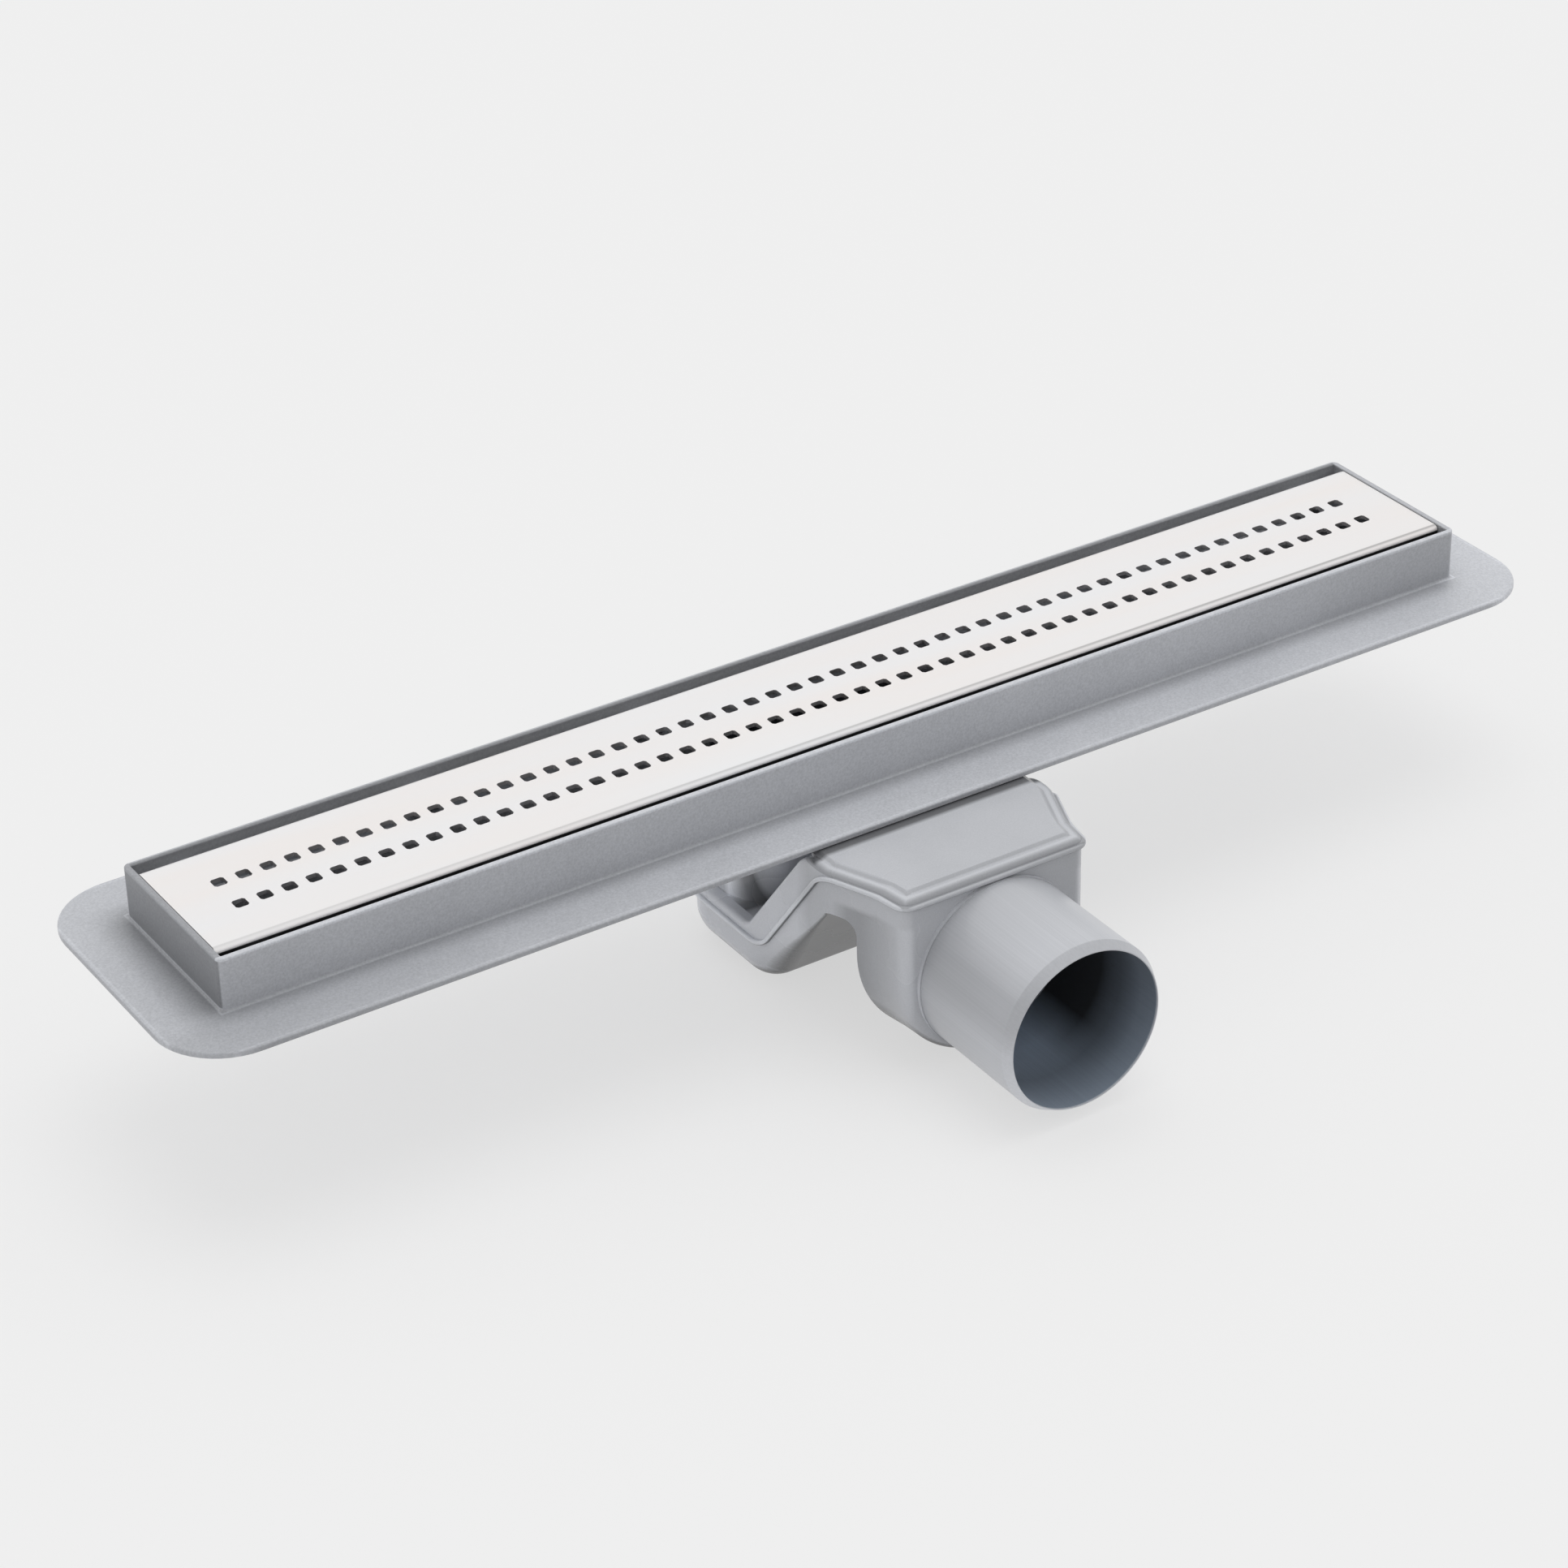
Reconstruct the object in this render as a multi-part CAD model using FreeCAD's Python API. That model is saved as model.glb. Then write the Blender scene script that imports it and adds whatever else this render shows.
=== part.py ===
import FreeCAD, Part
import math
import os

# Linear shower drain: a moulded channel with a membrane flange, a perforated cover, and a low trap
# welded from two shells with a side outlet.
# Millimetres. The origin is the centre of the cover's top face, which lies level with the finished
# floor. +X runs along the channel, +Z is up, and the outlet leaves towards -Y.

# Channel
rim_length = 400.0
rim_width = 55.0
rim_rise = 0.3
rim_height = 15.5
rim_wall = 1.8
rim_corner = 2.0
rim_edge_round = 0.4
flange_reach = 18.5
flange_thickness = 1.5
flange_corner = 20.0
flange_root = 0.6
floor_thickness = 1.8
floor_fall = 1.2

# Drain slot in the channel floor, and the spout under it
slot_length = 58.0
slot_width = 31.0
slot_corner = 8.0
spout_wall = 1.8
spout_depth = 10.0
socket_clearance = 0.15

# Cover, folded from sheet
cover_length = 396.0
cover_width = 44.5
sheet = 1.2
cover_skirt = 10.0
cover_bend = 1.6
hole_size = 3.8
hole_corner = 0.6
hole_pitch = 7.03
hole_rows_apart = 12.1
holes_per_row = 53

# Moulded rests that carry the cover's skirts
rest_places = (45.0, 115.0, 185.0)
rest_length = 8.0
rest_seat = 1.8
rest_nib = 5.0
cover_side_clearance = 0.25

# Hair strainer in the drain slot
strainer_rim = 2.9
strainer_plate = 0.8
strainer_clearance = 0.3
basket_depth = 5.0
basket_wall = 1.2
basket_clearance = 0.4
basket_slots = 7
basket_slot_width = 2.4
basket_slot_land = 3.4
tab_length = 14.0
tab_height = 10.0
tab_thickness = 1.6
tab_hole = 2.6

# Trap plan: half widths, and the places along Y
trap_wall = 2.2
lid_wall = 1.8
trap_half_width = 37.3
waist_half_width = 30.9
outlet_half_width = 29.1
trap_back = 22.5
back_corner = 15.0
shoulder = -53.0
shoulder_round = 14.0
waist = -69.0
waist_round = 25.0
front_length = 10.5
front_corner = 3.8

# Trap side profile: a low passage at the back, a climb, and the outlet chamber at the front
lid_gap = 0.4
panel_rise = 0.9
panel_slope = 1.6
panel_inset = 2.6
panel_back = -44.0
panel_corner = 3.4
lid_rise = 1.9
low_lid_rise = 2.9
lid_valley = -13.6
lid_climb_run = 29.9
lid_valley_round = 4.0
lid_crest_round = 12.0
lid_edge_round = 1.6
seam_drop = 38.9
seam_valley = -22.0
seam_climb_run = 30.4
seam_valley_round = 12.0
seam_crest_round = 10.0
trap_depth = 56.6
arch_depth = 13.8
hump_toe = -19.0
belly_climb_run = 35.5
arch_width = 8.5
toe_round = 12.0
arch_round = 4.0
arch_far_round = 4.5
keel_round = 9.5
keel_end_round = 1.5
keel_full_run = 1.0

# Weld bead round the seam
bead_reach = 1.2
bead_half = 0.7
bead_round = 0.6
bead_root = 0.5

# Inlet of the trap, and the rubber seal between it and the spout
inlet_wall = 2.0
collar_depth = 12.0
inlet_foot_front = -8.0
inlet_foot_back = 18.0
inlet_bend = 16.0
seal_width = 2.0
seal_height = 3.5

# Outlet pipe
pipe_radius = 25.0
pipe_wall = 1.8
pipe_drop = 26.1
pipe_reach = 40.5
pipe_chamfer = 3.0
pipe_lip = 0.25
pipe_seat = 1.0
pipe_flash = 0.3
pipe_flash_length = 1.3

# Heights worked out from the sizes above
rim_top = rim_rise
flange_top = rim_top - rim_height
flange_under = flange_top - flange_thickness
floor_top = flange_under + floor_thickness
lid_top = flange_under - lid_gap
ledge_top = lid_top - panel_rise
seam_high = ledge_top - lid_rise
seam_low = seam_high - seam_drop
lid_low = seam_low + low_lid_rise
trap_bottom = lid_top - trap_depth
arch_top = lid_top - arch_depth
pipe_axis = seam_high - pipe_drop
seal_low = flange_under - seal_height

# Places along Y worked out from the sizes above
lid_crest = lid_valley - lid_climb_run
seam_crest = seam_valley - seam_climb_run
arch_near = hump_toe - belly_climb_run
chamber_back = arch_near - arch_width
nose = chamber_back - trap_wall
trap_front = waist - front_length
pipe_end = trap_front - pipe_reach
rear_taper = (trap_half_width - waist_half_width) / (shoulder - waist)
belly_climb = math.atan2(arch_top - trap_bottom, belly_climb_run)
keel_fade_along = toe_round * math.tan(belly_climb / 2.0) + keel_full_run
keel_fade = (
    hump_toe - keel_fade_along * math.cos(belly_climb),
    trap_bottom + keel_fade_along * math.sin(belly_climb),
)

# Well outside every piece
beyond = rim_length


def cross(a, b, c):
    return (b[0] - a[0]) * (c[1] - b[1]) - (b[1] - a[1]) * (c[0] - b[0])


def turns_left(points):
    area = 0.0
    for a, b in zip(points, points[1:] + points[:1]):
        area += a[0] * b[1] - b[0] * a[1]
    return area > 0.0


def inset(points, distance):
    """A rounded outline (u, v, radius) moved inwards, or outwards with a negative distance."""
    side = 1.0 if turns_left(points) else -1.0
    count = len(points)
    moved = []
    for i in range(count):
        a, b, c = points[i - 1], points[i], points[(i + 1) % count]
        before = math.hypot(b[0] - a[0], b[1] - a[1])
        after = math.hypot(c[0] - b[0], c[1] - b[1])
        d1 = ((b[0] - a[0]) / before, (b[1] - a[1]) / before)
        d2 = ((c[0] - b[0]) / after, (c[1] - b[1]) / after)
        n1 = (-d1[1] * side, d1[0] * side)
        n2 = (-d2[1] * side, d2[0] * side)
        share = distance / (1.0 + n1[0] * n2[0] + n1[1] * n2[1])
        u = b[0] + (n1[0] + n2[0]) * share
        v = b[1] + (n1[1] + n2[1]) * share
        convex = cross(a, b, c) * side > 0.0
        radius = b[2] - distance if convex else b[2] + distance
        moved.append((u, v, max(radius, 0.0) if b[2] > 0.0 else 0.0))
    return moved


def rounded_wire(points, place):
    """A closed wire through the corners, each rounded by its own radius."""
    count = len(points)
    starts = []
    middles = []
    ends = []
    for i in range(count):
        a, b, c = points[i - 1], points[i], points[(i + 1) % count]
        before = math.hypot(b[0] - a[0], b[1] - a[1])
        after = math.hypot(c[0] - b[0], c[1] - b[1])
        d1 = ((a[0] - b[0]) / before, (a[1] - b[1]) / before)
        d2 = ((c[0] - b[0]) / after, (c[1] - b[1]) / after)
        if b[2] <= 0.0:
            starts.append((b[0], b[1]))
            middles.append(None)
            ends.append((b[0], b[1]))
            continue
        half = math.acos(max(-1.0, min(1.0, d1[0] * d2[0] + d1[1] * d2[1]))) / 2.0
        reach = b[2] / math.tan(half)
        bisector = (d1[0] + d2[0], d1[1] + d2[1])
        size = math.hypot(bisector[0], bisector[1])
        depth = b[2] / math.sin(half) - b[2]
        starts.append((b[0] + d1[0] * reach, b[1] + d1[1] * reach))
        middles.append((b[0] + bisector[0] / size * depth, b[1] + bisector[1] / size * depth))
        ends.append((b[0] + d2[0] * reach, b[1] + d2[1] * reach))
    edges = []
    for i in range(count):
        if middles[i]:
            edges.append(Part.Arc(place(*starts[i]), place(*middles[i]), place(*ends[i])).toShape())
        nxt = starts[(i + 1) % count]
        if math.hypot(nxt[0] - ends[i][0], nxt[1] - ends[i][1]) > 1e-6:
            edges.append(Part.makeLine(place(*ends[i]), place(*nxt)))
    return Part.Wire(edges)


def upright(points, low, high):
    """A plan outline (x, y, radius) raised between two heights."""
    wire = rounded_wire(points, lambda x, y: FreeCAD.Vector(x, y, low))
    return Part.Face(wire).extrude(FreeCAD.Vector(0, 0, high - low))


def sideways(points, half_length):
    """A side profile (y, z, radius) drawn out along X, the same way to both sides."""
    wire = rounded_wire(points, lambda y, z: FreeCAD.Vector(-half_length, y, z))
    return Part.Face(wire).extrude(FreeCAD.Vector(2.0 * half_length, 0, 0))


def lengthways(points, half_width):
    """A long profile (x, z, radius) drawn out along Y, the same way to both sides."""
    wire = rounded_wire(points, lambda x, z: FreeCAD.Vector(x, half_width, z))
    return Part.Face(wire).extrude(FreeCAD.Vector(0, -2.0 * half_width, 0))


def rectangle(half_x, front, back, radius):
    return [(half_x, front, radius), (half_x, back, radius), (-half_x, back, radius), (-half_x, front, radius)]


def box(x0, x1, y0, y1, z0, z1):
    return Part.makeBox(x1 - x0, y1 - y0, z1 - z0, FreeCAD.Vector(x0, y0, z0))


def tube_y(radius, start, end, height):
    base = FreeCAD.Vector(0, start, height)
    return Part.makeCylinder(radius, start - end, base, FreeCAD.Vector(0, -1, 0))


# Outlines that several pieces share
slot_half_x = slot_length / 2.0
slot_half_y = slot_width / 2.0
slot_plan = rectangle(slot_half_x, -slot_half_y, slot_half_y, slot_corner)
spout_plan = inset(slot_plan, -spout_wall)
collar_bore_plan = inset(spout_plan, -socket_clearance)
collar_plan = inset(collar_bore_plan, -inlet_wall)
seal_plan = inset(spout_plan, -seal_width)
strainer_seat_plan = inset(slot_plan, -strainer_rim - strainer_clearance)

right_side = [
    (outlet_half_width, trap_front, front_corner),
    (waist_half_width, waist, waist_round),
    (trap_half_width, shoulder, shoulder_round),
    (trap_half_width, trap_back, back_corner),
]
trap_plan = right_side + [(-x, y, r) for x, y, r in reversed(right_side)]

lid_line = [
    (beyond, lid_low, 0.0),
    (lid_valley, lid_low, lid_valley_round),
    (lid_crest, ledge_top, lid_crest_round),
]
seam_line = [
    (beyond, seam_low, 0.0),
    (seam_valley, seam_low, seam_valley_round),
    (seam_crest, seam_high, seam_crest_round),
]
belly_line = [
    (arch_near, arch_top, arch_round),
    (hump_toe, trap_bottom, toe_round),
    (beyond, trap_bottom, 0.0),
]


def channel_body():
    """One moulding: membrane flange, rim, falling floor, drain slot, spout and cover rests."""
    rim_plan = rectangle(rim_length / 2.0, -rim_width / 2.0, rim_width / 2.0, rim_corner)
    flange_plan = inset(rim_plan, -flange_reach)
    flange_plan = [(x, y, flange_corner) for x, y, r in flange_plan]
    walls = upright(rim_plan, flange_under, rim_top)
    body = upright(flange_plan, flange_under, flange_top).fuse(walls).removeSplitter()
    root = [e for e in body.Edges if on_plan_at(e, flange_top, rim_length / 2.0 + 1.0)]
    body = body.makeFillet(flange_root, root)

    end = rim_length / 2.0 - rim_wall
    fall = [
        (-beyond, floor_top + floor_fall, 0.0),
        (-end, floor_top + floor_fall, 0.0),
        (-slot_half_x - strainer_rim, floor_top, 0.0),
        (slot_half_x + strainer_rim, floor_top, 0.0),
        (end, floor_top + floor_fall, 0.0),
        (beyond, floor_top + floor_fall, 0.0),
        (beyond, beyond, 0.0),
        (-beyond, beyond, 0.0),
    ]
    trough = upright(inset(rim_plan, rim_wall), flange_under, beyond).common(lengthways(fall, rim_width))
    body = body.cut(trough)
    lip = [e for e in body.Edges if on_plan_at(e, rim_top, rim_length)]
    body = body.makeFillet(rim_edge_round, lip)

    body = body.fuse(upright(spout_plan, flange_under - spout_depth, floor_top - strainer_plate))
    body = body.cut(upright(strainer_seat_plan, floor_top - strainer_plate, floor_top + 1.0))
    body = body.cut(upright(slot_plan, flange_under - spout_depth - 1.0, floor_top + 1.0))
    for place in rest_places:
        for x in (-place, place):
            for side in (-1.0, 1.0):
                body = body.fuse(cover_rest(x, side))
    return body.removeSplitter()


def on_plan_at(edge, height, reach):
    """True for an edge that lies flat at a height, no further out along X than the reach."""
    limits = edge.BoundBox
    flat = abs(limits.ZMin - height) < 1e-4 and abs(limits.ZMax - height) < 1e-4
    return flat and max(abs(limits.XMin), abs(limits.XMax)) < reach


def cover_rest(x, side):
    """A block on the wall and floor: the skirt stands on its step, and a nib keeps the cover central."""
    wall = rim_width / 2.0 - rim_wall + 0.2
    skirt_outside = cover_width / 2.0
    step_inside = skirt_outside - rest_seat
    nib_inside = skirt_outside + cover_side_clearance
    profile = [
        (side * step_inside, floor_top - 0.5, 0.0),
        (side * step_inside, -cover_skirt, 0.0),
        (side * nib_inside, -cover_skirt, 0.0),
        (side * nib_inside, -rest_nib, 0.0),
        (side * wall, -rest_nib, 0.0),
        (side * wall, floor_top - 0.5, 0.0),
    ]
    block = sideways(profile, rest_length / 2.0)
    block.translate(FreeCAD.Vector(x, 0, 0))
    return block


def cover_grate():
    """One folded sheet: flat top, two long edges turned down, two rows of square holes."""
    half = cover_width / 2.0
    inner = half - sheet
    section = [
        (-half, -cover_skirt, 0.0),
        (-half, 0.0, cover_bend),
        (half, 0.0, cover_bend),
        (half, -cover_skirt, 0.0),
        (inner, -cover_skirt, 0.0),
        (inner, -sheet, cover_bend - sheet),
        (-inner, -sheet, cover_bend - sheet),
        (-inner, -cover_skirt, 0.0),
    ]
    cover = sideways(section, cover_length / 2.0)
    hole = square_punch()
    punches = []
    for i in range(holes_per_row):
        x = (i - (holes_per_row - 1) / 2.0) * hole_pitch
        for side in (-0.5, 0.5):
            punch = hole.copy()
            punch.translate(FreeCAD.Vector(x, side * hole_rows_apart, 0))
            punches.append(punch)
    return cover.cut(Part.makeCompound(punches))


def square_punch():
    """A square punch with its corners broken."""
    reach = hole_size / 2.0
    near = reach - hole_corner
    outline = [(reach, -near, 0.0), (reach, near, 0.0), (near, reach, 0.0), (-near, reach, 0.0)]
    outline = outline + [(-x, -y, 0.0) for x, y, r in outline]
    return upright(outline, -sheet - 1.0, 1.0)


def hair_strainer():
    """A shallow slotted basket that hangs in the drain slot by its rim, with a tab to lift it."""
    plate_low = floor_top - strainer_plate
    rim_plan = inset(slot_plan, -strainer_rim)
    basket_plan = inset(slot_plan, basket_clearance)
    basket_low = plate_low - basket_depth
    strainer = upright(rim_plan, plate_low, floor_top)
    strainer = strainer.fuse(upright(basket_plan, basket_low, floor_top))
    strainer = strainer.cut(upright(inset(basket_plan, basket_wall), basket_low + basket_wall, floor_top + 1.0))
    pitch = (slot_length - 2.0 * basket_clearance - 2.0 * basket_slot_land) / basket_slots
    half_slot = slot_half_y - basket_clearance - basket_slot_land
    tab_side = tab_thickness / 2.0 + basket_slot_land / 2.0
    for i in range(basket_slots):
        x = (i - (basket_slots - 1) / 2.0) * pitch
        for front, back in ((-half_slot, -tab_side), (tab_side, half_slot)):
            reach = basket_slot_width / 2.0
            slot = box(x - reach, x + reach, front, back, basket_low - 1.0, basket_low + basket_wall + 1.0)
            strainer = strainer.cut(slot)
    tab_low = basket_low + basket_wall / 2.0
    tab_top = tab_low + tab_height
    tab_corner = tab_length / 4.0
    tab_outline = [
        (-tab_length / 2.0, tab_low, 0.0),
        (tab_length / 2.0, tab_low, 0.0),
        (tab_length / 2.0, tab_top, tab_corner),
        (-tab_length / 2.0, tab_top, tab_corner),
    ]
    tab = lengthways(tab_outline, tab_thickness / 2.0)
    finger = tube_y(tab_hole, tab_thickness, -tab_thickness, tab_top - tab_corner)
    return strainer.fuse(tab.cut(finger)).removeSplitter()


def chamber(distance):
    """The outlet chamber below the seam: round-bottomed, and narrower from the arch to the front."""
    back_half_width = waist_half_width + rear_taper * (chamber_back - waist)
    sections = [
        (chamber_back - distance, back_half_width),
        (waist, waist_half_width),
        (trap_front + distance, outlet_half_width),
    ]
    shrink = distance * math.hypot(1.0, rear_taper)
    wires = [round_section(y, half - shrink, trap_bottom + distance) for y, half in sections]
    return Part.makeLoft(wires, True, True)


def round_section(y, half, bottom):
    """A section across the chamber: upright sides that run into a half-round bottom."""
    middle = bottom + half
    left = FreeCAD.Vector(-half, y, middle)
    right = FreeCAD.Vector(half, y, middle)
    left_top = FreeCAD.Vector(-half, y, seam_high)
    right_top = FreeCAD.Vector(half, y, seam_high)
    edges = [
        Part.makeLine(left_top, left),
        Part.Arc(left, FreeCAD.Vector(0, y, bottom), right).toShape(),
        Part.makeLine(right, right_top),
        Part.makeLine(right_top, left_top),
    ]
    return Part.Wire(edges)


def passage(distance):
    """The low passage and the climb over the arch, with square keel edges, inset by a distance."""
    profile = [(beyond, 0.0, 0.0), (-beyond, 0.0, 0.0), (-beyond, arch_top, 0.0)] + belly_line
    wide = rectangle(trap_half_width, -beyond, trap_back, 0.0)
    wide = inset([(x, y, back_corner if y > 0.0 else 0.0) for x, y, r in wide], distance)
    return sideways(inset(profile, distance), beyond).common(upright(wide, -beyond, beyond))


def keel_edges(solid, distance):
    """The edges between a passage's sides and back and its underside."""
    half = trap_half_width - distance
    bottom = trap_bottom + distance
    found = []
    for edge in solid.Edges:
        limits = edge.BoundBox
        ends = [past_fade(vertex.Point) for vertex in edge.Vertexes]
        on_cut = max(ends) < 1e-3 and min(ends) > -1e-3
        upright_edge = limits.XLength < 1e-3 and limits.YLength < 1e-3
        middle = edge.CenterOfMass
        at_side = abs(abs(middle.x) - half) < 1e-3 and middle.z < seam_high
        at_bottom = abs(limits.ZMin - bottom) < 1e-3 and abs(limits.ZMax - bottom) < 1e-3
        at_back = limits.YMax > trap_back - back_corner
        if not on_cut and not upright_edge and (at_side or (at_bottom and at_back)):
            found.append(edge)
    return found


def past_fade(point):
    """How far a point lies past the place where the keel's round starts to fade, along the climb."""
    back = (keel_fade[0] - point.y) * math.cos(belly_climb)
    return back + (point.z - keel_fade[1]) * math.sin(belly_climb)


def fade_side(direction):
    """Everything behind (-1) or ahead of (1) that place."""
    along = (-math.cos(belly_climb), math.sin(belly_climb))
    profile = []
    for ahead, aside in ((0.0, -1.0), (0.0, 1.0), (direction, 1.0), (direction, -1.0)):
        y = keel_fade[0] + beyond * (ahead * along[0] + aside * along[1])
        z = keel_fade[1] + beyond * (ahead * along[1] - aside * along[0])
        profile.append((y, z, 0.0))
    return sideways(profile, beyond)


def hump():
    """The outside of the bowl's back: a full round keel that fades out up the climb to the arch."""
    whole = passage(0.0)
    back = whole.common(fade_side(-1.0))
    back = back.makeFillet(keel_round, keel_edges(back, 0.0))
    climb = whole.common(fade_side(1.0)).common(box(-beyond, beyond, nose, beyond, -beyond, beyond))
    for side in (-1.0, 1.0):
        for edge in keel_edges(climb, 0.0):
            ends = [past_fade(edge.valueAt(edge.FirstParameter)), past_fade(edge.valueAt(edge.LastParameter))]
            if edge.CenterOfMass.x * side > 0.0 and abs(min(ends)) < 1e-3:
                start = edge
                from_fade = ends[0] < ends[1]
        radii = (keel_round, keel_end_round) if from_fade else (keel_end_round, keel_round)
        climb = climb.makeFillet(radii[0], radii[1], [start])
    return back.fuse(climb)


def under_lid(distance):
    """Everything below the lid's top, inset by a distance."""
    skin = lid_line + [(-beyond, ledge_top, 0.0), (-beyond, -beyond, 0.0), (beyond, -beyond, 0.0)]
    return sideways(inset(skin, distance), beyond)


def trap_column(distance):
    """Everything within the trap's plan, inset by a distance."""
    return upright(inset(trap_plan, distance), -beyond, beyond)


def lid_panel(distance):
    """The raised panel on the roof of the outlet chamber, with sloping sides, inset by a distance."""
    foot = inset(trap_plan, panel_inset)
    foot = [(x, y, panel_corner if y == foot[0][1] else r) for x, y, r in foot]
    brow = inset(foot, panel_slope + distance)
    foot = inset(foot, distance)
    low = ledge_top - distance
    high = lid_top - distance
    wires = [
        rounded_wire(foot, lambda x, y: FreeCAD.Vector(x, y, low)),
        rounded_wire(brow, lambda x, y: FreeCAD.Vector(x, y, high)),
    ]
    panel = upright(foot, seam_high, low).fuse(Part.makeLoft(wires, True, True))
    return panel.common(box(-beyond, beyond, -beyond, panel_back - distance, -beyond, beyond))


def water_way():
    """The inside of the trap: low passage, climb, weir over the arch, and outlet chamber."""
    low = passage(trap_wall)
    low = low.makeFillet(keel_round - trap_wall, keel_edges(low, trap_wall))
    way = low.common(under_lid(lid_wall)).common(trap_column(trap_wall))
    way = way.cut(box(-beyond, beyond, -beyond, nose, -beyond, seam_high))
    return way.fuse([chamber(trap_wall), lid_panel(lid_wall)])


def weld_bead():
    """The raised bead squeezed out along the seam, rounded on the outside."""
    ring = sideways(seam_slab(), beyond).common(trap_column(-bead_reach))
    ring = ring.makeFillet(bead_round, [e for e in ring.Edges if on_bead_edge(e)])
    return ring.cut(trap_column(bead_root))


def seam_slab():
    """A band of even thickness that follows the seam."""
    upper = moved_line(bead_half)
    lower = moved_line(-bead_half)
    ahead = [(-beyond, seam_high + bead_half, 0.0), (-beyond, seam_high - bead_half, 0.0)]
    return upper + ahead + lower[::-1]


def moved_line(distance):
    """The seam's level, climbing and level runs, moved up at right angles to themselves."""
    climb = math.atan2(seam_drop, seam_climb_run)
    shift = distance * math.tan(climb / 2.0)
    start, valley, crest = seam_line
    return [
        (start[0], start[1] + distance, 0.0),
        (valley[0] + shift, valley[1] + distance, valley[2] - distance),
        (crest[0] + shift, crest[1] + distance, crest[2] + distance),
    ]


def on_bead_edge(edge):
    """True for the ring's long edges, and false for the short ones across its thickness."""
    limits = edge.BoundBox
    across = limits.XLength < 1e-3 and limits.YLength < 1e-3
    short = edge.Length < 2.0 * bead_half + 0.5 and limits.ZLength > bead_half
    return not across and not short


def above_seam():
    line = seam_line + [(-beyond, seam_high, 0.0), (-beyond, beyond, 0.0), (beyond, beyond, 0.0)]
    return sideways(line, beyond)


def below_seam():
    line = seam_line + [(-beyond, seam_high, 0.0), (-beyond, -beyond, 0.0), (beyond, -beyond, 0.0)]
    return sideways(line, beyond)


def trap_upper_shell(way, bead):
    """The lid: low at the back under the inlet, climbing to the chamber roof at the front."""
    block = under_lid(0.0).common(trap_column(0.0))
    block = block.makeFillet(lid_edge_round, [e for e in block.Edges if on_lid_edge(e)])
    block = block.fuse(lid_panel(0.0))
    above = above_seam()
    shell = block.common(above).cut(way)
    shell = shell.fuse(bead.common(above))

    collar = funnel(0.0, lid_low - trap_wall / 2.0)
    collar = collar.fuse(upright(inset(seal_plan, -inlet_wall), seal_low - inlet_wall, flange_under))
    bore = funnel(inlet_wall, lid_low - 1.5 * trap_wall)
    bore = bore.fuse(upright(seal_plan, seal_low, flange_under))
    return shell.fuse(collar).cut(bore).removeSplitter()


def on_lid_edge(edge):
    """True for the edges between the lid's top and its sides, front and back."""
    limits = edge.BoundBox
    middle = edge.CenterOfMass
    if limits.XLength < 1e-3 and limits.YLength < 1e-3:
        return False
    if middle.z < lid_low - 1e-3:
        return False
    across = limits.YLength < 1e-3
    at_front = across and abs(middle.y - trap_front) < 1e-3
    at_back = across and abs(middle.y - trap_back) < 1e-3
    return at_front or at_back or not across


def funnel(distance, foot):
    """A straight collar round the spout that narrows below to the low lid, inset by a distance."""
    half_x, front, corner = collar_plan[0]
    bend = flange_under - collar_depth
    profile = [
        (-front, flange_under + distance, 0.0),
        (-front, bend, inlet_bend),
        (inlet_foot_back, foot - distance, 0.0),
        (inlet_foot_front, foot - distance, 0.0),
        (front, bend, inlet_bend),
        (front, flange_under + distance, 0.0),
    ]
    solid = sideways(inset(profile, distance), half_x - distance)
    corners = [e for e in solid.Edges if abs(abs(e.CenterOfMass.x) - half_x + distance) < 1e-3]
    corners = [e for e in corners if e.BoundBox.ZLength > 1e-3]
    return solid.makeFillet(corner - distance, corners)


def inlet_seal():
    """A rubber ring in the collar's rebate, between the spout and the collar."""
    ring = upright(seal_plan, seal_low, flange_under)
    return ring.cut(upright(spout_plan, seal_low - 1.0, flange_under + 1.0))


def trap_lower_shell(way, bead):
    """The bowl: a round-cornered hump at the back, the arch, and the outlet chamber at the front."""
    arch_end = arch_top - 2.0 * arch_far_round
    arch_profile = [
        (beyond, 0.0, 0.0),
        (nose, 0.0, 0.0),
        (nose, arch_end, 0.0),
        (chamber_back, arch_end, 0.0),
        (chamber_back, arch_top, arch_far_round),
    ] + belly_line
    column = sideways(arch_profile, beyond).common(trap_column(0.0))
    corner_end = chamber_back + arch_far_round
    corner = column.common(box(-beyond, beyond, nose, corner_end, arch_end, arch_top + arch_far_round))
    arch = hump().common(column).fuse(corner)
    front = chamber(0.0)
    front = front.makeFillet(front_corner, [e for e in front.Edges if on_front_edge(e)])
    below = below_seam()
    shell = arch.fuse(front).common(below).cut(way)
    shell = shell.fuse(bead.common(below))
    outside = trap_front - 2.0 * bead_reach
    shell = shell.cut(tube_y(pipe_radius, trap_front + pipe_seat, outside, pipe_axis))
    shell = shell.cut(tube_y(pipe_radius - pipe_wall, trap_front + 2.0 * trap_wall, outside, pipe_axis))
    return shell.removeSplitter()


def on_front_edge(edge):
    """True for the edges round the chamber's front face, apart from the one at the seam."""
    limits = edge.BoundBox
    flat = abs(limits.YMin - trap_front) < 1e-3 and abs(limits.YMax - trap_front) < 1e-3
    at_seam = abs(limits.ZMin - seam_high) < 1e-3
    return flat and not at_seam


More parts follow.
